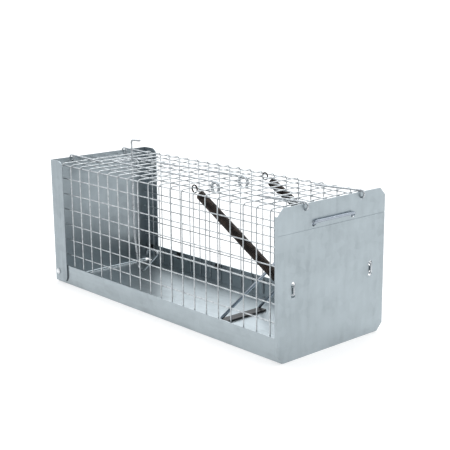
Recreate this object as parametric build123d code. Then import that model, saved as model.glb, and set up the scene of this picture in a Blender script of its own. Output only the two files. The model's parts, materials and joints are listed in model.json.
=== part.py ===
"""Spring-door live catch trap: sheet tray, welded wire cage, sprung front door, wire trigger and rear door.

Millimetres. +X points to the front door, +Z up, and the origin is on the ground under the cage's middle.
The near side is -Y and the far side is +Y.
"""

import os
from math import atan2, cos, degrees, radians, sin

from build123d import *

# Overall
OUTER_LENGTH = 400.6        # over the outer faces of the two doors
SHEET = 1.0                 # galvanised sheet thickness
DOOR_WIDTH = 157.0
DOOR_TOP = 155.8
X_FACE = OUTER_LENGTH / 2   # outer face of each door
X_MID = X_FACE - SHEET / 2  # middle of each door's sheet
SIDES = {"near": -1, "far": 1}

# Tray
TRAY_WIDTH = 142.0
TRAY_WALL = 24.2
TRAY_END = 198.05
HEM_DEPTH = 5.0
HEM_THICK = 0.6
FLOOR_BEND = 2.0
SILL = 0.8                  # thickness of the floor's upturned rear edge, outside the rear door
SILL_GAP = 0.3
SILL_TOP = 6.0

# Welded wire cage
PITCH = 19.05
CAGE_WIRE = 0.65            # radius
UPRIGHT_COUNT = 20
FIRST_UPRIGHT = -181.35
UPRIGHT_Y = 68.9
ROOF_Z = 151.4
ROOF_BEND = 4.0
UPRIGHT_FOOT = 3.0
LINE_WIRE_END = 197.55
SIDE_LINE_TOP = 133.5
SIDE_LINE_COUNT = 7
CLIP_UPRIGHTS = (0, 3, 7)   # each clip sits just behind one of these uprights
CLIP_WIDTH = 9.0

# Trigger side of the roof
LEVER_UPRIGHT = 12          # this roof wire carries the lever and the springs
HOOK_UPRIGHT = 3            # this roof wire carries the bait hook

# Front door
DOOR_FOOT = 0.8
DOOR_CHAMFER = 8.0
LIP_DEPTH = 3.0
CREASE_Z = 129.5
CREASE_STEP = 0.4
BAIL_HOLE_Z = 134.2
BAIL_HOLE_R = 3.2
STAPLE_Y = 57.2
STAPLE_Z = 72.6
STAPLE_GAP = 10.8
STAPLE_HOLE_R = 2.9

# Hinge eyes and latch hooks, the same bent wire on both doors
EYE_R = 3.7
EYE_WIRE = 1.1
EYE_Z = 153.4
EYE_HOLE_R = 1.5
EYE_WRAP = 318.0
TAIL_SLOPE = 2.7
FRONT_EYE_Y = 41.0
REAR_EYE_Y = {"near": -42.3, "far": 38.4}
REAR_TAIL_SKEW = 4.5
TAIL_LENGTH = {"front_near": 61.0, "front_far": 63.0, "rear_near": 60.0, "rear_far": 44.0}

# Prop bail
BAIL_WIRE = 1.7
BAIL_Y = 28.6
BAIL_ANGLE = 43.7           # below level, when the door is shut
BAIL_LEG = 187.8            # from the door's hole to the foot
BAIL_ROD_OFFSET = 3.3       # from the door's hole to the rod outside it
BAIL_BEND = 2.4
STRIP_WIDTH = 11.5
STRIP_Z = 2.2
STRIP_LENGTH = 62.0
STRIP_LIP = 1.9

# Trigger lever
LEVER_WIRE = 0.9
LEVER_EYE_R = 6.3
LEVER_EYE_Z = 147.5
LEVER_NEAR_Y = -23.5
LEVER_FAR_Y = 22.0
LEVER_TIP_X = -138.45
LEVER_TIP_FAR_Y = 6.5
LEVER_BEND = 4.0
LEVER_WRAP = 300.0

# Bait hook
HOOK_WIRE = 1.2
HOOK_TOP = (-114.0, 179.4)
HOOK_PATH = [
    HOOK_TOP, (-131.3, 178.4), (-131.4, 62.0), (-124.5, 17.5),
    (-113.0, 17.2), (-81.5, 46.0), (-104.5, 46.0), (-107.0, 38.5),
]
HOOK_BENDS = [3.0, 30.0, 5.0, 5.0, 2.2, 3.0]
HOOK_EYE_R = 5.0
HOOK_EYE_WIRE = 0.7
HOOK_EYE_SHIFT = (-2.6, -2.0)

# Door springs
SPRING_R = 5.2
SPRING_WALL = 1.5
SPRING_TOP_Y = 52.0
TOP_NECK = 12.0
LOW_NECK = 16.5
NECK_GAP = 0.75
LOOP_R = 4.0
LOOP_WIRE = 0.8
TOP_LOOP_SHIFT = 2.3
LOW_LOOP_SHIFT = 6.2        # the lower loop stops just short of the staple's bar

# Rear door
REAR_WIDTH = 145.4
REAR_TOP = 154.8
REAR_FLANGE = 24.5
REAR_FOOT = 1.7             # of the flanges, outside the tray
REAR_PLATE_FOOT = 3.0       # between the tray's walls, where the foot swings over its floor
REAR_CORNER_R = 9.0
PIVOT_X = -194.3
PIVOT_Z = 13.6
PIVOT_PIN_R = 2.0
PIVOT_HEAD_R = 3.4
PIVOT_HEAD = 1.6
PIVOT_BOSS_R = 4.5
PIVOT_SWEEP_R = 13.2
RUNNING = 0.05


def upright_x(index):
    """X of a cage upright, counted from the rear."""
    return FIRST_UPRIGHT + PITCH * index


def block(x, y, z):
    """A box from its low and high coordinates on each axis."""
    size = (x[1] - x[0], y[1] - y[0], z[1] - z[0])
    middle = ((x[0] + x[1]) / 2, (y[0] + y[1]) / 2, (z[0] + z[1]) / 2)
    return Pos(*middle) * Box(*size)


def rod(start, end, radius):
    """A straight round wire between two points."""
    axis = Vector(*end) - Vector(*start)
    return Plane(origin=start, z_dir=axis) * Cylinder(
        radius, axis.length, align=(Align.CENTER, Align.CENTER, Align.MIN)
    )


def swept(path, radius):
    """A round wire along a path without sharp corners."""
    section = Plane(origin=path @ 0, z_dir=path % 0) * Circle(radius)
    return sweep(section, path=path)


def bent_wire(points, bends, radius):
    """A round wire along straight runs joined by arcs."""
    return swept(FilletPolyline(*points, radius=bends), radius)


def ring(centre, radius, wire, normal=(0, 1, 0)):
    """A closed wire ring."""
    return Plane(origin=centre, z_dir=normal) * Torus(radius, wire)


def drill(centre, radius, length, axis):
    """The cutter for a round hole through a sheet."""
    return Plane(origin=centre, z_dir=axis) * Cylinder(radius, length)


def side_profile(outline, y_low, y_high):
    """Extrudes an outline in X and Z across a span of Y."""
    sketch = Plane.XZ.offset(-y_low) * outline
    return extrude(sketch, -(y_high - y_low))


# ---- tray and cage ----

def heel_relief():
    """The room that the rear door's heel needs below its pivot, in the tray's walls."""
    sweep_disc = Circle(PIVOT_SWEEP_R)
    boss = Circle(PIVOT_BOSS_R)
    below = Polygon((-30, 3), (-30, -30), (30, -30), (30, -10.5), (0, 0), (-5, 3), align=None)
    return Pos(PIVOT_X, PIVOT_Z) * ((sweep_disc - boss) & below)


def base_tray():
    """Folded floor with two side walls, a hem along each wall and a cut-back boss at each rear pivot."""
    half = TRAY_WIDTH / 2
    floor = block((-TRAY_END, TRAY_END), (-half, half), (0, SHEET))
    tray = floor
    for side in SIDES.values():
        wall = block((-TRAY_END, TRAY_END), sorted((side * half, side * (half - SHEET))), (0, TRAY_WALL))
        hem_y = sorted((side * half, side * (half + HEM_THICK)))
        hem = block((-TRAY_END + REAR_FLANGE + 3, TRAY_END), hem_y, (TRAY_WALL - HEM_DEPTH, TRAY_WALL))
        tray += wall + hem
    edges = tray.edges().filter_by(Axis.X).group_by(Axis.Z)[0]
    tray = fillet(edges, FLOOR_BEND / 2)
    sill = half - FLOOR_BEND
    back = -X_FACE - SILL_GAP - SILL
    tray += block((back, -TRAY_END), (-sill, sill), (0, SHEET))
    tray += block((back, back + SILL), (-sill, sill), (0, SILL_TOP))
    relief = side_profile(heel_relief(), -half - 1, half + 1)
    keep_floor = block((-TRAY_END - 8, TRAY_END), (-half - 2, half + 2), (-1, SHEET))
    tray -= relief - keep_floor
    tray -= drill((PIVOT_X, 0, PIVOT_Z), PIVOT_PIN_R + RUNNING, TRAY_WIDTH + 4, (0, 1, 0))
    return tray


def uprights(side):
    """The upright wires of one cage side, each bent over at the roof."""
    group = []
    for index in range(UPRIGHT_COUNT):
        x = upright_x(index)
        low = (x, side * UPRIGHT_Y, UPRIGHT_FOOT)
        corner = (x, side * UPRIGHT_Y, ROOF_Z)
        end = (x, side * (UPRIGHT_Y - ROOF_BEND - 0.5), ROOF_Z)
        group.append(bent_wire([low, corner, end], ROOF_BEND, CAGE_WIRE))
    return group


def side_lines(side):
    """The lengthways wires of one cage side, and the one inside the roof bend."""
    y = side * (UPRIGHT_Y - 2 * CAGE_WIRE)
    heights = [SIDE_LINE_TOP - PITCH * i for i in range(SIDE_LINE_COUNT)]
    places = [(y, z) for z in heights]
    inside = (ROOF_BEND - 2 * CAGE_WIRE) * sin(radians(45))
    places.append((side * (UPRIGHT_Y - ROOF_BEND + inside), ROOF_Z - ROOF_BEND + inside))
    return [rod((-LINE_WIRE_END, py, pz), (LINE_WIRE_END, py, pz), CAGE_WIRE) for py, pz in places]


def roof_cross_wires():
    """The roof wires that run across, one between each pair of uprights."""
    reach = UPRIGHT_Y - ROOF_BEND - 0.5
    return [
        rod((upright_x(i), -reach, ROOF_Z), (upright_x(i), reach, ROOF_Z), CAGE_WIRE)
        for i in range(UPRIGHT_COUNT)
    ]


def roof_lines():
    """The lengthways wires under the roof."""
    z = ROOF_Z - 2 * CAGE_WIRE
    return [
        rod((-LINE_WIRE_END, PITCH * (i + 0.5), z), (LINE_WIRE_END, PITCH * (i + 0.5), z), CAGE_WIRE)
        for i in range(-3, 3)
    ]


def mesh_clips():
    """Bent tabs inside the tray's walls that hold the lowest line wires."""
    group = []
    wall = TRAY_WIDTH / 2 - SHEET
    wire_y = UPRIGHT_Y - 2 * CAGE_WIRE
    wire_z = SIDE_LINE_TOP - PITCH * (SIDE_LINE_COUNT - 1)
    thick = 0.8
    gap = CAGE_WIRE + 0.15
    for side in SIDES.values():
        for index in CLIP_UPRIGHTS:
            edge = upright_x(index) - CAGE_WIRE - 0.2
            x = (edge - CLIP_WIDTH, edge)
            back = block(x, sorted((side * wall, side * (wall - thick))), (wire_z - 4, TRAY_WALL))
            top_z = wire_z + gap
            arm_y = sorted((side * wall, side * (wire_y - gap - thick)))
            arm = block(x, arm_y, (top_z, top_z + thick))
            nose_y = sorted((side * (wire_y - gap), side * (wire_y - gap - thick)))
            nose = block(x, nose_y, (wire_z - gap, top_z + thick))
            group.append(back + arm + nose)
    return group


# ---- doors ----

def front_door():
    """Sheet door with cut corners, short side lips, a pressed crease and the holes for its wires."""
    half = DOOR_WIDTH / 2
    corners = [
        (-half + DOOR_CHAMFER, DOOR_FOOT), (half - DOOR_CHAMFER, DOOR_FOOT),
        (half, DOOR_FOOT + DOOR_CHAMFER), (half, DOOR_TOP - DOOR_CHAMFER),
        (half - DOOR_CHAMFER, DOOR_TOP), (-half + DOOR_CHAMFER, DOOR_TOP),
        (-half, DOOR_TOP - DOOR_CHAMFER), (-half, DOOR_FOOT + DOOR_CHAMFER),
    ]
    face = Plane.YZ.offset(X_FACE) * Polygon(*corners, align=None)
    door = extrude(face, -SHEET)
    groove = block((X_FACE - CREASE_STEP, X_FACE + 1), (-half, half), (CREASE_Z - 0.5, CREASE_Z + 0.5))
    inner = X_FACE - SHEET
    rib = block((inner - CREASE_STEP, inner), (-half + 2, half - 2), (CREASE_Z - 1, CREASE_Z + 1))
    door = door + rib - groove
    for side in SIDES.values():
        lip_y = sorted((side * half, side * (half - SHEET)))
        door += block(
            (X_FACE - SHEET - LIP_DEPTH, X_FACE - SHEET / 2), lip_y,
            (DOOR_FOOT + DOOR_CHAMFER, DOOR_TOP - DOOR_CHAMFER),
        )
        door -= drill((X_MID, side * BAIL_Y, BAIL_HOLE_Z), BAIL_HOLE_R, 4, (1, 0, 0))
        door -= drill((X_MID, side * FRONT_EYE_Y, EYE_Z - EYE_R), EYE_HOLE_R, 4, (1, 0, 0))
        for end in (-1, 1):
            centre = (X_MID, side * STAPLE_Y, STAPLE_Z + end * STAPLE_GAP / 2)
            door -= drill(centre, STAPLE_HOLE_R, 4, (1, 0, 0))
    return door


def rear_door():
    """Sheet door with a full-height flange on each side, hung on two rivets near its foot."""
    half = REAR_WIDTH / 2
    door = block((-X_FACE, -X_FACE + SHEET), (-half, half), (REAR_FOOT, REAR_TOP))
    between = half - SHEET - 0.1
    door -= block((-X_FACE - 1, -X_FACE + 2), (-between, between), (REAR_FOOT - 1, REAR_PLATE_FOOT))
    free = -X_FACE + REAR_FLANGE
    for side in SIDES.values():
        flange_y = sorted((side * half, side * (half - SHEET)))
        flange = block((-X_FACE, free), flange_y, (REAR_FOOT, REAR_TOP))
        corners = flange.edges().filter_by(Axis.Y).sort_by(Axis.X)[-2:]
        door += fillet(corners, REAR_CORNER_R)
    door -= drill((PIVOT_X, 0, PIVOT_Z), PIVOT_PIN_R + RUNNING, REAR_WIDTH + 4, (0, 1, 0))
    for y in REAR_EYE_Y.values():
        door -= drill((-X_MID, y, EYE_Z - EYE_R), EYE_HOLE_R, 4, (1, 0, 0))
    return door


def pivot_rivets():
    """The rear door's two rivets, with a domed head outside and a thin washer between the sheets."""
    group = []
    half = REAR_WIDTH / 2
    inner = TRAY_WIDTH / 2 - SHEET
    for side in SIDES.values():
        along = (0, side, 0)
        shank_end = (PIVOT_X, side * (half + 0.6), PIVOT_Z)
        shank = rod((PIVOT_X, side * (inner - 1.2), PIVOT_Z), shank_end, PIVOT_PIN_R)
        dome = Plane(origin=(PIVOT_X, side * (half + 0.1), PIVOT_Z), z_dir=along) * Cylinder(
            PIVOT_HEAD_R, PIVOT_HEAD, align=(Align.CENTER, Align.CENTER, Align.MIN)
        )
        rim = dome.edges().filter_by(GeomType.CIRCLE).sort_by(Axis.Y)[-1 if side > 0 else 0]
        dome = fillet(rim, PIVOT_HEAD * 0.8)
        washer = rod(
            (PIVOT_X, side * (inner + SHEET), PIVOT_Z), (PIVOT_X, side * (half - SHEET - 0.1), PIVOT_Z),
            PIVOT_PIN_R + 1.2,
        )
        tail = rod((PIVOT_X, side * (inner - 1.2), PIVOT_Z), (PIVOT_X, side * inner, PIVOT_Z), PIVOT_HEAD_R)
        group.append(shank + dome + washer + tail)
    return group


def eye_hook(centre_x, y, toward, length, skew=0.0):
    """A wire eye round a door's top edge, with a straight tail that lies on the roof."""
    turn = degrees(atan2(skew, length))
    out = Vector(toward * cos(radians(turn)), sin(radians(turn)), 0)
    lie = Plane(origin=(centre_x, y, EYE_Z), x_dir=out, z_dir=out.cross(Vector(0, 0, 1)))
    start = 90 - TAIL_SLOPE
    touch = (EYE_R * cos(radians(start)), EYE_R * sin(radians(start)))
    end = (touch[0] + length * cos(radians(TAIL_SLOPE)), touch[1] - length * sin(radians(TAIL_SLOPE)))
    tail = Line(end, touch)
    eye = CenterArc((0, 0), EYE_R, start, EYE_WRAP)
    return swept(lie * Wire([tail, eye]), EYE_WIRE)


def front_hinge(name):
    """A hinge eye of the front door: its tail is fixed on the roof."""
    return eye_hook(X_MID, SIDES[name] * FRONT_EYE_Y, -1, TAIL_LENGTH["front_" + name])


def rear_latch(name):
    """A latch hook of the rear door: its tail rests on the roof and lifts."""
    return eye_hook(-X_MID, REAR_EYE_Y[name], 1, TAIL_LENGTH["rear_" + name], REAR_TAIL_SKEW)


# ---- prop bail ----

def bail_point(distance, y):
    """A point on the bail's leg, at a distance inside the door's hole."""
    angle = radians(BAIL_ANGLE)
    return (X_MID - distance * cos(angle), y, BAIL_HOLE_Z - distance * sin(angle))


def prop_bail():
    """U of wire: a rod across the door's outer face and two legs down to the floor."""
    points = [
        bail_point(BAIL_LEG, -BAIL_Y), bail_point(-BAIL_ROD_OFFSET, -BAIL_Y),
        bail_point(-BAIL_ROD_OFFSET, BAIL_Y), bail_point(BAIL_LEG, BAIL_Y),
    ]
    return bent_wire(points, BAIL_BEND, BAIL_WIRE)


def bail_strip():
    """Folded strip that joins the feet of the bail."""
    foot_x = bail_point(BAIL_LEG, 0)[0]
    back = foot_x - 2.5
    front = back + STRIP_WIDTH
    half = STRIP_LENGTH / 2
    top = STRIP_Z + SHEET
    plate = block((back, front), (-half, half), (STRIP_Z, top))
    lip = block((front - SHEET, front), (-half, half), (top - STRIP_LIP, top))
    return plate + lip


# ---- trigger ----

def lever_eye(x, y, along, wrap):
    """The path of the lever's eye, which hangs on a roof wire and ends at its top."""
    lie = Plane(origin=(x, y, LEVER_EYE_Z), x_dir=(along[0], along[1], 0), z_dir=(along[1], -along[0], 0))
    return lie * CenterArc((0, 0), LEVER_EYE_R, 90 - wrap, wrap)


def trigger_lever():
    """Hairpin of wire on the roof, with an eye at each end round a roof wire."""
    x = upright_x(LEVER_UPRIGHT)
    top = LEVER_EYE_Z + LEVER_EYE_R
    near = (x, LEVER_NEAR_Y, top)
    near_tip = (LEVER_TIP_X, LEVER_NEAR_Y, top)
    far_tip = (LEVER_TIP_X, LEVER_TIP_FAR_Y, top)
    far = (x, LEVER_FAR_Y, top)
    hairpin = FilletPolyline(near, near_tip, far_tip, far, radius=LEVER_BEND)
    reach = Vector(*far) - Vector(*far_tip)
    along = reach.normalized()
    near_eye = lever_eye(x, LEVER_NEAR_Y, (1, 0), LEVER_WRAP)
    far_eye = lever_eye(x, LEVER_FAR_Y, (along.X, along.Y), LEVER_WRAP)
    return swept(Wire([*near_eye.edges(), *hairpin.edges(), *far_eye.edges()]), LEVER_WIRE)


def bait_hook():
    """Upright wire: a catch at the top, and a hook for the bait at the foot."""
    points = [(x, 0, z) for x, z in HOOK_PATH]
    return bent_wire(points, HOOK_BENDS, HOOK_WIRE)


def bait_hook_eye():
    """The ring on the bait hook's side that hangs on a roof wire."""
    x = upright_x(HOOK_UPRIGHT) + HOOK_EYE_SHIFT[0]
    z = ROOF_Z + HOOK_EYE_SHIFT[1]
    return ring((x, HOOK_WIRE + HOOK_EYE_WIRE, z), HOOK_EYE_R, HOOK_EYE_WIRE)


# ---- door springs ----

def staple_inner_x():
    """X of the staple's bar inside the door."""
    return X_MID - 7.6


def spring_line(side):
    """The spring's ends, on the roof wire and on the staple's bar, and the unit vector between them."""
    top = Vector(upright_x(LEVER_UPRIGHT), side * SPRING_TOP_Y, ROOF_Z)
    low = Vector(staple_inner_x(), side * STAPLE_Y, STAPLE_Z)
    return top, low, (low - top).normalized()


def door_spring(side):
    """The close-wound body of a door spring, as a tube."""
    top, low, along = spring_line(side)
    length = (low - top).length - TOP_NECK - LOW_NECK
    at = Plane(origin=top + along * TOP_NECK, z_dir=along)
    low_end = (Align.CENTER, Align.CENTER, Align.MIN)
    bore = Cylinder(SPRING_R - SPRING_WALL, length, align=low_end)
    tube = Cylinder(SPRING_R, length, align=low_end) - bore
    return at * tube


def spring_loop(centre, normal, neck_start, neck_end):
    """A hook ring with the short neck that joins it to the spring."""
    return ring(centre, LOOP_R, LOOP_WIRE, normal) + rod(neck_start, neck_end, LOOP_WIRE)


def top_loop(side):
    """The spring's upper ring, round the roof wire."""
    top, _, along = spring_line(side)
    centre = top + along * TOP_LOOP_SHIFT
    rise = along.cross(Vector(0, 1, 0)).normalized() * (SPRING_R - SPRING_WALL / 2)
    start = centre + along * LOOP_R
    return spring_loop(centre, (0, 1, 0), start, top + along * (TOP_NECK - NECK_GAP) + rise)


def low_loop(side):
    """The spring's lower ring, round the staple's bar."""
    _, low, along = spring_line(side)
    centre = low - along * LOW_LOOP_SHIFT
    normal = along.cross(Vector(0, 1, 0)).normalized()
    start = centre - along * LOOP_R
    rise = normal * (SPRING_R - SPRING_WALL / 2)
    return spring_loop(centre, normal, start, low - along * (LOW_NECK - NECK_GAP) + rise)


def spring_staple(side):
    """A closed wire link through the door's two staple holes."""
    outer = X_FACE + 1.15
    inner = staple_inner_x()
    middle = (outer + inner) / 2
    lie = Plane(origin=(middle, side * STAPLE_Y, STAPLE_Z), x_dir=(1, 0, 0), z_dir=(0, -1, 0))
    loop = lie * RectangleRounded(outer - inner, STAPLE_GAP, 2.2)
    path = loop.wires()[0]
    return swept(path, 1.0)


def save(name, solids):
    """Writes one node, made of one solid or of a group of separate solids."""
    if isinstance(solids, list):
        solids = Compound(children=solids)
    solids.label = name
    export_step(solids, f"parts/{name}.step")


def main():
    os.makedirs("parts", exist_ok=True)
    save("base_tray", base_tray())
    save("mesh_clips", mesh_clips())
    save("roof_cross_wires", roof_cross_wires())
    save("roof_line_wires", roof_lines())
    save("front_door", front_door())
    save("prop_bail", prop_bail())
    save("bail_cross_strip", bail_strip())
    save("trigger_lever", trigger_lever())
    save("bait_hook", bait_hook())
    save("bait_hook_eye", bait_hook_eye())
    save("rear_door", rear_door())
    save("rear_pivot_rivets", pivot_rivets())
    for name, side in SIDES.items():
        save(f"{name}_uprights", uprights(side))
        save(f"{name}_line_wires", side_lines(side))
        save(f"front_hinge_{name}", front_hinge(name))
        save(f"rear_latch_{name}", rear_latch(name))
        save(f"door_spring_{name}", door_spring(side))
        save(f"spring_top_loop_{name}", top_loop(side))
        save(f"spring_low_loop_{name}", low_loop(side))
        save(f"spring_staple_{name}", spring_staple(side))


if __name__ == "__main__":
    main()
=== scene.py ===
"""The looks of the live catch trap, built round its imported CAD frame.

Metres, in the frame's own axes: +X to the front door, +Z up, -Y the near side.
"""

import json
import math
import random

import bmesh
import bpy
from mathutils import Euler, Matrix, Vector


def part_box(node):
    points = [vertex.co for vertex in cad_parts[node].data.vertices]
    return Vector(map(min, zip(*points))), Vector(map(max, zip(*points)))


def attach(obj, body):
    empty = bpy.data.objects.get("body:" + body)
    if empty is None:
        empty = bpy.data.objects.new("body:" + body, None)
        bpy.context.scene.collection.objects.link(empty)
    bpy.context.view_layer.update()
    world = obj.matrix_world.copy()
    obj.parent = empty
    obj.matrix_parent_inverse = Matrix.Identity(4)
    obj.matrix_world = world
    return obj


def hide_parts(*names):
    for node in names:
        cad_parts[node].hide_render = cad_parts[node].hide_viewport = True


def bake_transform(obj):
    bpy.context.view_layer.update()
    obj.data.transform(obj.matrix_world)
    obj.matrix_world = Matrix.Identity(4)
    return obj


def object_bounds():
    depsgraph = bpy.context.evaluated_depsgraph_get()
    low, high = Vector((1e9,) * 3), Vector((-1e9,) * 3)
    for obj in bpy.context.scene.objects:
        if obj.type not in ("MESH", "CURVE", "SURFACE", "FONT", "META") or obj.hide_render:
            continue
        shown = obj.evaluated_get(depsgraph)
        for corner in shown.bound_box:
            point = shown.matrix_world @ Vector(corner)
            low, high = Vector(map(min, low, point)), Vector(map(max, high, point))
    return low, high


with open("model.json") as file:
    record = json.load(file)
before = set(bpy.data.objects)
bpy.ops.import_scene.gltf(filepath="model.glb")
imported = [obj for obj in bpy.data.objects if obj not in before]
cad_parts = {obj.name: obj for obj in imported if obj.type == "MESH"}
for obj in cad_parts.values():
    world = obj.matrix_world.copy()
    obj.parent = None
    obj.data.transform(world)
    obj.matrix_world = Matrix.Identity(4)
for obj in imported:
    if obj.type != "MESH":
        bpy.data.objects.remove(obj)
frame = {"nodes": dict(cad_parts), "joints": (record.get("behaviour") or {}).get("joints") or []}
cad_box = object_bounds()
nodes = frame["nodes"]
joints = {joint["name"]: joint for joint in frame["joints"]}
SIDES = ("near", "far")

# Wire sizes, in metres
CAGE_WIRE = 0.00065
LEVER_WIRE = 0.0009
EYE_TURN_PITCH = 0.0024
EYE_TURNS = 2.0
LEVER_MOUTH = 0.030         # between the lever's arms at its closed end
LEVER_BEND = 0.004
COIL_WIRE = 0.00085
COIL_PITCH = 0.00185
WIRE_GAP = 0.003            # more than this between two points means two wires
STAPLE_WIRE = 0.001
BEAD_SIZE = (1.02, 1.20)    # of a weld bead, in cage wire radii
BEAD_HEIGHT = (0.95, 1.15)  # of a weld bead, in its own sizes
BEAD_BULGE = 0.14           # how far a bead is from round

# Tones of the finishes
FRONT_TONE = (0.37, 0.42, 0.445)
REAR_TONE = (0.335, 0.38, 0.405)
TRAY_TONE = (0.39, 0.44, 0.465)
BLACK_TONE = (0.007, 0.008, 0.009)
CAGE_TONES = ((0.62, 0.65, 0.66), (0.34, 0.36, 0.38))      # clean and dull
BRIGHT_TONES = ((0.58, 0.61, 0.63), (0.28, 0.30, 0.32))
GREY_TONES = ((0.38, 0.42, 0.47), (0.29, 0.33, 0.38))
RIVET_TONES = ((0.80, 0.82, 0.83), (0.62, 0.64, 0.66))
FLOOR_TONES = (0.49, 0.51)
DOOR_GRAIN = (1, 0.30, 0.05)
TRAY_GRAIN = (0.06, 1, 0.6)
FINE_RELIEF = 0.0001
SHEET_RELIEF = 0.0003

# Camera: its place, its turn in degrees and its lens in millimetres
CAMERA_AT = (0.83295, -0.7105, 0.3521)
CAMERA_TURN = (76.715, 0.520, 48.061)
CAMERA_LENS = 78.62
SENSOR = 36.0

# Studio light
FLOOR_GLOW = 0.55
BACK_LIGHT = (-0.66, 0.68, 0.31)    # the surround is brightest in this direction
SURROUND = (0.60, 1.75)             # and this strong away from it and towards it
SURROUND_COLOUR = (0.96, 0.98, 1.0)
LIT_POINT = (0, 0, 0.05)
FLOOR_HALF = 6.0
FLOOR_DROP = 0.0002                 # the floor lies this far under the part


# ---- materials ----

class Nodes:
    """A small helper that adds and joins the nodes of one material."""

    def __init__(self, name):
        self.material = bpy.data.materials.new(name)
        self.material.use_nodes = True
        self.tree = self.material.node_tree
        self.shader = self.tree.nodes["Principled BSDF"]
        self.coords = self.add("ShaderNodeTexCoord").outputs["Object"]

    def add(self, kind, **settings):
        node = self.tree.nodes.new(kind)
        for key, value in settings.items():
            setattr(node, key, value)
        return node

    def join(self, source, target):
        self.tree.links.new(source, target)

    def set(self, **values):
        for key, value in values.items():
            self.shader.inputs[key.replace("_", " ").capitalize()].default_value = value

    def stretched(self, scale):
        """Object coordinates, scaled on each axis."""
        mapping = self.add("ShaderNodeMapping")
        mapping.inputs["Scale"].default_value = scale
        self.join(self.coords, mapping.inputs["Vector"])
        return mapping.outputs["Vector"]

    def noise(self, scale, detail=2.0, stretch=(1, 1, 1)):
        node = self.add("ShaderNodeTexNoise")
        node.inputs["Scale"].default_value = scale
        node.inputs["Detail"].default_value = detail
        self.join(self.stretched(stretch), node.inputs["Vector"])
        return node.outputs["Fac"]

    def cells(self, scale):
        """Flat-shaded crystal cells, each with one random value."""
        node = self.add("ShaderNodeTexVoronoi")
        node.inputs["Scale"].default_value = scale
        self.join(self.coords, node.inputs["Vector"])
        split = self.add("ShaderNodeSeparateColor")
        self.join(node.outputs["Color"], split.inputs["Color"])
        return split.outputs["Red"]

    def mixed(self, a, b, share):
        """A weighted mix of two grey values."""
        node = self.add("ShaderNodeMix", data_type="FLOAT")
        node.inputs["Factor"].default_value = share
        self.join(a, node.inputs["A"])
        self.join(b, node.inputs["B"])
        return node.outputs["Result"]

    def ramp(self, value, stops):
        """A colour ramp from (position, colour) pairs."""
        node = self.add("ShaderNodeValToRGB")
        elements = node.color_ramp.elements
        for index, (position, colour) in enumerate(stops):
            element = elements[index] if index < 2 else elements.new(position)
            element.position = position
            element.color = (*colour, 1)
        self.join(value, node.inputs["Fac"])
        return node.outputs["Color"]

    def spread(self, value, low, high):
        """A grey value carried from 0.3..0.7 to low..high."""
        node = self.add("ShaderNodeMapRange")
        node.inputs["From Min"].default_value = 0.3
        node.inputs["From Max"].default_value = 0.7
        node.inputs["To Min"].default_value = low
        node.inputs["To Max"].default_value = high
        self.join(value, node.inputs["Value"])
        return node.outputs["Result"]

    def bump(self, value, strength, distance):
        node = self.add("ShaderNodeBump")
        node.inputs["Strength"].default_value = strength
        node.inputs["Distance"].default_value = distance
        self.join(value, node.inputs["Height"])
        self.join(node.outputs["Normal"], self.shader.inputs["Normal"])


def galvanised(name, tone, grain):
    """Zinc-coated sheet: cloudy patches, faint crystals and a fine rolling grain along one axis."""
    m = Nodes(name)
    cloud = m.noise(16, 5, (1, 1, 1.6))
    crystal = m.cells(140)
    fine = m.noise(420, 3, grain)
    patches = m.mixed(cloud, crystal, 0.16)
    surface = m.mixed(patches, fine, 0.34)
    dark = tuple(c * 0.87 for c in tone)
    light = tuple(min(1.0, c * 1.07) for c in tone)
    m.join(m.ramp(surface, [(0.32, dark), (0.68, light), (0.5, tone)]), m.shader.inputs["Base Color"])
    m.join(m.spread(surface, 0.44, 0.33), m.shader.inputs["Roughness"])
    m.set(metallic=1.0)
    m.bump(m.mixed(fine, cloud, 0.3), 0.16, SHEET_RELIEF)
    return m.material


def wire(name, tones, rough=(0.40, 0.26), relief=0.25):
    """Drawn wire: patchy zinc with dull spots."""
    m = Nodes(name)
    patches = m.noise(260, 4)
    specks = m.noise(1500, 2)
    surface = m.mixed(patches, specks, 0.4)
    clean, dull = tones
    m.join(m.ramp(surface, [(0.36, dull), (0.60, clean)]), m.shader.inputs["Base Color"])
    m.join(m.spread(surface, *rough), m.shader.inputs["Roughness"])
    m.set(metallic=1.0)
    m.bump(specks, relief, FINE_RELIEF)
    return m.material


def spring_steel():
    """Oiled dark spring wire, with brown patches."""
    m = Nodes("spring_steel")
    patches = m.noise(150, 4)
    specks = m.noise(1300, 2)
    surface = m.mixed(patches, specks, 0.35)
    stops = [(0.34, (0.008, 0.007, 0.007)), (0.70, (0.085, 0.058, 0.044)), (0.52, (0.028, 0.022, 0.020))]
    m.join(m.ramp(surface, stops), m.shader.inputs["Base Color"])
    m.join(m.spread(surface, 0.46, 0.30), m.shader.inputs["Roughness"])
    m.set(metallic=0.75)
    m.bump(specks, 0.3, FINE_RELIEF)
    return m.material


def black_coat(name):
    """Black coating with a little dust and scuffs; on the mesh clips the black is partly painted shade.
    """
    m = Nodes(name)
    scuffs = m.noise(190, 5, (3, 1, 1))
    specks = m.noise(1800, 2)
    surface = m.mixed(scuffs, specks, 0.35)
    worn = tuple(c * 3.4 for c in BLACK_TONE)
    m.join(m.ramp(surface, [(0.45, BLACK_TONE), (0.72, worn)]), m.shader.inputs["Base Color"])
    m.join(m.spread(surface, 0.55, 0.38), m.shader.inputs["Roughness"])
    m.bump(specks, 0.2, FINE_RELIEF)
    return m.material


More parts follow.
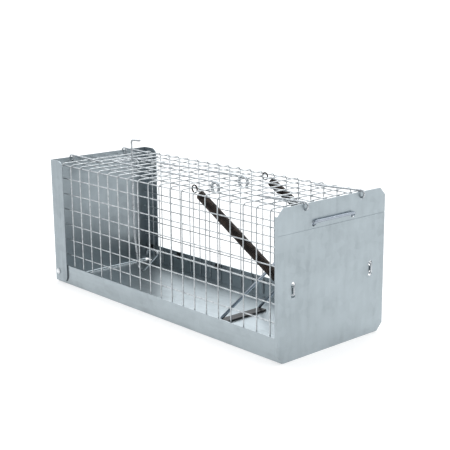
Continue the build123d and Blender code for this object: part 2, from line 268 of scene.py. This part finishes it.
def floor_paint():
    """Matt pale studio floor that glows a little, so that shadows on it stay faint."""
    m = Nodes("studio_floor")
    speck = m.noise(60, 3)
    low, high = FLOOR_TONES
    m.join(m.ramp(speck, [(0.3, (low,) * 3), (0.7, (high,) * 3)]), m.shader.inputs["Base Color"])
    m.set(roughness=0.9)
    m.shader.inputs["Emission Color"].default_value = (1, 1, 1, 1)
    m.shader.inputs["Emission Strength"].default_value = FLOOR_GLOW
    return m.material


def use(name, material):
    """Gives one CAD node a material in place of its own."""
    data = nodes[name].data
    data.materials.clear()
    data.materials.append(material)


# ---- wire work ----

def rounded(points, radius, steps=8):
    """A polyline with each inner corner turned into an arc."""
    path = [Vector(points[0])]
    for before, corner, after in zip(points, points[1:], points[2:]):
        corner = Vector(corner)
        back = (Vector(before) - corner).normalized()
        ahead = (Vector(after) - corner).normalized()
        half = back.angle(ahead) / 2
        reach = radius / math.tan(half)
        centre = corner + (back + ahead).normalized() * (radius / math.sin(half))
        start = (corner + back * reach - centre).normalized()
        end = (corner + ahead * reach - centre).normalized()
        for step in range(steps + 1):
            path.append(centre + start.slerp(end, step / steps) * radius)
    path.append(Vector(points[-1]))
    return path


def helix(centre, across, up, axis, radius, turns, pitch, start, steps=20):
    """Points round an axis, from a start angle in radians, moving along it by the pitch each turn."""
    count = max(2, int(abs(turns) * steps))
    path = []
    for step in range(count + 1):
        turned = turns * step / count
        angle = start + turned * 2 * math.pi
        place = centre + across * (radius * math.cos(angle)) + up * (radius * math.sin(angle))
        path.append(place + axis * (pitch * abs(turned)))
    return path


def wire_mesh(name, paths, radius, material, sides=2):
    """One mesh of round wires that follow the paths."""
    curve = bpy.data.curves.new(name + "_line", "CURVE")
    curve.dimensions = "3D"
    curve.bevel_depth = radius
    curve.bevel_resolution = sides
    curve.use_fill_caps = True
    for path in paths:
        spline = curve.splines.new("POLY")
        spline.points.add(len(path) - 1)
        for point, place in zip(spline.points, path):
            point.co = (*place, 1)
    maker = bpy.data.objects.new(name + "_line", curve)
    bpy.context.scene.collection.objects.link(maker)
    bpy.context.view_layer.update()
    mesh = bpy.data.meshes.new_from_object(maker)
    bpy.data.objects.remove(maker)
    mesh.polygons.foreach_set("use_smooth", [True] * len(mesh.polygons))
    mesh.materials.clear()
    mesh.materials.append(material)
    made = bpy.data.objects.new(name, mesh)
    bpy.context.scene.collection.objects.link(made)
    return made


def clusters(name, axis):
    """The middle of each wire of a node along one axis, found from the gaps between its vertices."""
    values = sorted(v.co[axis] for v in nodes[name].data.vertices)
    groups = [[values[0]]]
    for value in values[1:]:
        if value - groups[-1][-1] > WIRE_GAP:
            groups.append([])
        groups[-1].append(value)
    return [(group[0] + group[-1]) / 2 for group in groups]


def weld_beads(name, places, normal, body, material):
    """Small squashed beads of metal where two wires are welded, one at each place."""
    draw = random.Random(len(places))
    vertices, faces = [], []
    rings, around = 4, 8
    tilt = Vector(normal).to_track_quat("Z", "Y").to_matrix()
    for place in places:
        size = CAGE_WIRE * draw.uniform(*BEAD_SIZE)
        flat = draw.uniform(*BEAD_HEIGHT)
        turn = draw.uniform(0, math.pi)
        base = len(vertices)
        for ring in range(rings + 1):
            polar = math.pi * ring / rings
            for step in range(around):
                angle = turn + 2 * math.pi * step / around
                bulge = size * (1 + BEAD_BULGE * math.sin(2 * angle))
                local = Vector((
                    bulge * math.sin(polar) * math.cos(angle),
                    bulge * math.sin(polar) * math.sin(angle),
                    size * flat * math.cos(polar),
                ))
                vertices.append(Vector(place) + tilt @ local)
        for ring in range(rings):
            for step in range(around):
                following = (step + 1) % around
                a, b = base + ring * around + step, base + ring * around + following
                faces.append((a, a + around, b + around, b))
    mesh = bpy.data.meshes.new(name)
    mesh.from_pydata([tuple(v) for v in vertices], [], faces)
    mesh.validate()
    mesh.polygons.foreach_set("use_smooth", [True] * len(mesh.polygons))
    mesh.materials.append(material)
    beads = bpy.data.objects.new(name, mesh)
    bpy.context.scene.collection.objects.link(beads)
    merge_poles(beads)
    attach(beads, body)
    return beads


def merge_poles(made):
    """Joins the points that share one place, such as a bead's poles."""
    mesh = bmesh.new()
    mesh.from_mesh(made.data)
    bmesh.ops.remove_doubles(mesh, verts=mesh.verts, dist=CAGE_WIRE * 0.02)
    bmesh.ops.recalc_face_normals(mesh, faces=mesh.faces)
    mesh.to_mesh(made.data)
    mesh.free()


def cage_welds(material):
    """Beads at each crossing of the two sides and of the roof."""
    for side, sign in zip(SIDES, (-1, 1)):
        columns = clusters(f"{side}_uprights", 0)
        low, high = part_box(f"{side}_uprights")
        outer = (low.y if sign < 0 else high.y) - sign * CAGE_WIRE
        contact = outer - sign * CAGE_WIRE
        rows = clusters(f"{side}_line_wires", 2)[:-1]
        places = [(x, contact, z) for x in columns for z in rows]
        weld_beads(f"{side}_weld_beads", places, (0, 1, 0), "cage", material)
    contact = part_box("roof_cross_wires")[0].z
    columns, rows = clusters("roof_cross_wires", 0), clusters("roof_line_wires", 1)
    places = [(x, y, contact) for x in columns for y in rows]
    weld_beads("roof_weld_beads", places, (0, 0, 1), "cage", material)


# ---- springs ----

def extent_along(name, origin, axis):
    """The lowest and highest distance of a node's points from an origin along an axis."""
    reach = [(v.co - origin).dot(axis) for v in nodes[name].data.vertices]
    return min(reach), max(reach)


def door_spring(side, material):
    """A close-wound coil that stretches between its two bodies."""
    node = f"door_spring_{side}"
    top = Vector(joints[f"{node}_turn"]["pos_m"])
    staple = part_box(f"spring_staple_{side}")
    middle = (staple[0] + staple[1]) / 2
    foot = Vector((staple[0].x + STAPLE_WIRE, middle.y, middle.z))
    axis = (foot - top).normalized()
    start, end = extent_along(node, top, axis)
    radius = max(((v.co - top) - axis * (v.co - top).dot(axis)).length for v in nodes[node].data.vertices)
    across = Vector((0, 1, 0)).cross(axis).normalized()
    up = axis.cross(across).normalized()
    length = end - start - 2 * COIL_WIRE
    turns = length / COIL_PITCH
    first = top + axis * (start + COIL_WIRE)
    path = helix(first, across, up, axis, radius - COIL_WIRE, turns, COIL_PITCH, 0.0, 14)
    coil = wire_mesh(f"{node}_coil", [path], COIL_WIRE, material)
    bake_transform(coil)
    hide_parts(node)


# ---- trigger lever ----

def trigger_lever(material):
    """Hairpin of bent wire with a wound eye at each end."""
    low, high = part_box("trigger_lever")
    pivot = Vector(joints["trigger_lever_lift"]["pos_m"])
    top = high.z - LEVER_WIRE
    radius = top - pivot.z
    tip_x = low.x + LEVER_WIRE
    near_y, far_y = low.y + LEVER_WIRE, high.y - LEVER_WIRE
    closed_y = near_y + LEVER_MOUTH
    near = Vector((pivot.x, near_y, top))
    far = Vector((pivot.x, far_y, top))
    near_tip, far_tip = Vector((tip_x, near_y, top)), Vector((tip_x, closed_y, top))
    arms = rounded([near, near_tip, far_tip, far], LEVER_BEND)
    back, up, inward = Vector((-1, 0, 0)), Vector((0, 0, 1)), Vector((0, 1, 0))
    drop = up * radius
    near_eye = helix(near - drop, back, up, inward, radius, EYE_TURNS, EYE_TURN_PITCH, math.pi / 2, 24)
    far_eye = helix(far - drop, back, up, -inward, radius, EYE_TURNS, EYE_TURN_PITCH, math.pi / 2, 24)
    path = near_eye[::-1] + arms[1:-1] + far_eye
    lever = wire_mesh("trigger_lever_wire", [path], LEVER_WIRE, material, 3)
    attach(lever, "trigger_lever")
    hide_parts("trigger_lever")


# ---- studio ----

def studio_floor():
    mesh = bpy.data.meshes.new("studio_floor")
    half = FLOOR_HALF
    corners = [(-half, -half, 0), (half, -half, 0), (half, half, 0), (-half, half, 0)]
    mesh.from_pydata(corners, [], [(0, 1, 2, 3)])
    mesh.materials.append(floor_paint())
    floor = bpy.data.objects.new("studio_floor", mesh)
    floor.location.z = cad_box[0].z - FLOOR_DROP
    bpy.context.scene.collection.objects.link(floor)


def area_light(name, place, size, power):
    data = bpy.data.lights.new(name, "AREA")
    data.size = size
    data.energy = power
    lamp = bpy.data.objects.new(name, data)
    lamp.location = place
    lamp.rotation_euler = (Vector(LIT_POINT) - Vector(place)).to_track_quat("-Z", "Y").to_euler()
    bpy.context.scene.collection.objects.link(lamp)


def studio():
    """White surround and soft lights."""
    world = bpy.data.worlds.new("studio")
    world.use_nodes = True
    tree = world.node_tree
    background = tree.nodes["Background"]
    background.inputs["Color"].default_value = (*SURROUND_COLOUR, 1)
    direction = tree.nodes.new("ShaderNodeTexCoord").outputs["Generated"]
    toward = tree.nodes.new("ShaderNodeVectorMath")
    toward.operation = "DOT_PRODUCT"
    toward.inputs[1].default_value = BACK_LIGHT
    strength = tree.nodes.new("ShaderNodeMapRange")
    strength.inputs["From Min"].default_value = -0.5
    strength.inputs["To Min"].default_value, strength.inputs["To Max"].default_value = SURROUND
    tree.links.new(direction, toward.inputs[0])
    tree.links.new(toward.outputs["Value"], strength.inputs["Value"])
    tree.links.new(strength.outputs["Result"], background.inputs["Strength"])
    bpy.context.scene.world = world
    area_light("key", (1.2, -0.9, 1.9), 1.2, 7)
    area_light("top", (-0.5, 0.9, 1.8), 1.8, 16)
    bpy.context.scene.view_settings.view_transform = "Standard"


def camera():
    data = bpy.data.cameras.new("camera")
    data.lens = CAMERA_LENS
    data.sensor_width = SENSOR
    view = bpy.data.objects.new("camera", data)
    view.location = CAMERA_AT
    view.rotation_euler = Euler([math.radians(angle) for angle in CAMERA_TURN])
    bpy.context.scene.collection.objects.link(view)
    bpy.context.scene.camera = view


def finishes():
    """Gives each CAD node its material."""
    sheet = galvanised("galvanised_front", FRONT_TONE, DOOR_GRAIN)
    back_sheet = galvanised("galvanised_rear", REAR_TONE, DOOR_GRAIN)
    tray = galvanised("galvanised_tray", TRAY_TONE, TRAY_GRAIN)
    cage = wire("cage_wire", CAGE_TONES)
    bright = wire("bright_wire", BRIGHT_TONES, (0.34, 0.22))
    grey = wire("grey_wire", GREY_TONES, (0.26, 0.18), 0.08)
    dark = spring_steel()
    use("base_tray", tray)
    use("front_door", sheet)
    use("rear_door", back_sheet)
    use("rear_pivot_rivets", wire("rivet", RIVET_TONES, (0.34, 0.24)))
    # The clips' black is partly a dark finish and partly painted shade, standing in for the shade inside
    # tabs folded over the tray wall.
    use("mesh_clips", black_coat("dark_clip"))
    use("bail_cross_strip", black_coat("black_strip"))
    use("prop_bail", grey)
    for name in ("roof_cross_wires", "roof_line_wires"):
        use(name, cage)
    for name in ("bait_hook", "bait_hook_eye"):
        use(name, bright)
    for side in SIDES:
        for name in (f"{side}_uprights", f"{side}_line_wires"):
            use(name, cage)
        for name in (f"front_hinge_{side}", f"rear_latch_{side}", f"spring_staple_{side}"):
            use(name, bright)
        for name in (f"spring_top_loop_{side}", f"spring_low_loop_{side}"):
            use(name, dark)
        door_spring(side, dark)
    cage_welds(cage)
    trigger_lever(bright)


def main():
    finishes()
    studio_floor()
    studio()
    camera()


main()
